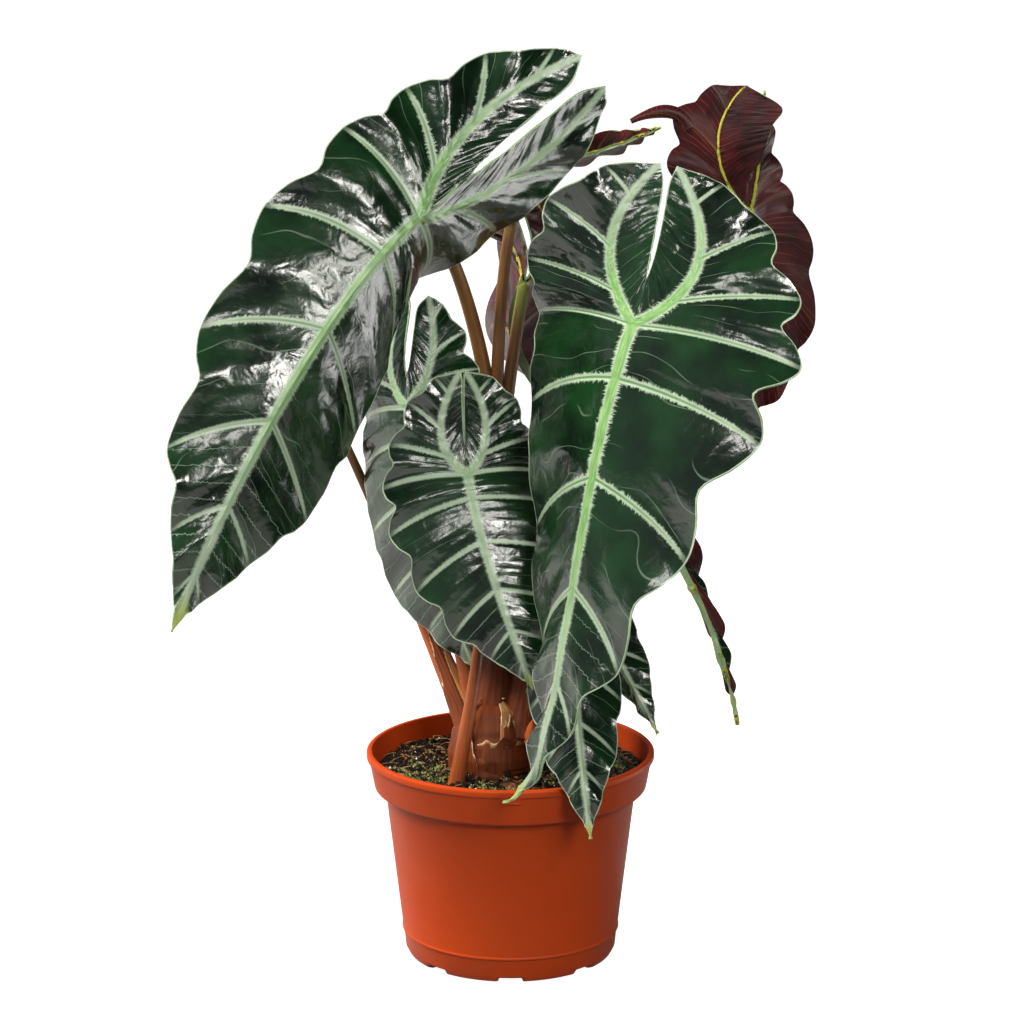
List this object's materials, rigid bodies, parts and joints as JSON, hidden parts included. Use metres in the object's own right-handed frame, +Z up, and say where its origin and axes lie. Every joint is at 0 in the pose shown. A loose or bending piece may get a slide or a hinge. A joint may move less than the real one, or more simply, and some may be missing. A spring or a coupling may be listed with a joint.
{
  "type": "potted alocasia",
  "caption": "Arrow-shaped waved leaf blades on curved stalks from a sheathed crown, rooted in soil in a tapered round plastic grower's pot with a wide rim band.",
  "frame": {"origin": "middle of the pot's underside, on the surface the pot stands on", "axes": "+Z up, -Y the plant's best side"},
  "size_m": [0.2634, 0.2014, 0.376],
  "materials": {
    "pot": "injection-moulded terracotta-coloured plastic, satin",
    "soil": "damp potting soil with moss and perlite",
    "stalk": "smooth brown-red leaf stalks and dry papery sheaths",
    "leaf": "glossy dark green upper face with pale veins, maroon under face",
    "leaf_maroon": "same leaf with its maroon under face turned outward"
  },
  "bodies": {
    "root": {"pot": "pot", "soil": "soil", "crown_and_stalks": "stalk", "centre_stalk": "stalk", "blade_upper_left": "leaf", "blade_right_front": "leaf", "blade_centre": "leaf", "blade_centre_back": "leaf", "blade_right_back": "leaf_maroon", "blade_top_back": "leaf_maroon", "blade_middle_back": "leaf_maroon", "blade_low_front": "leaf", "blade_low_right": "leaf", "blade_left_back": "leaf"}
  },
  "joints": []
}
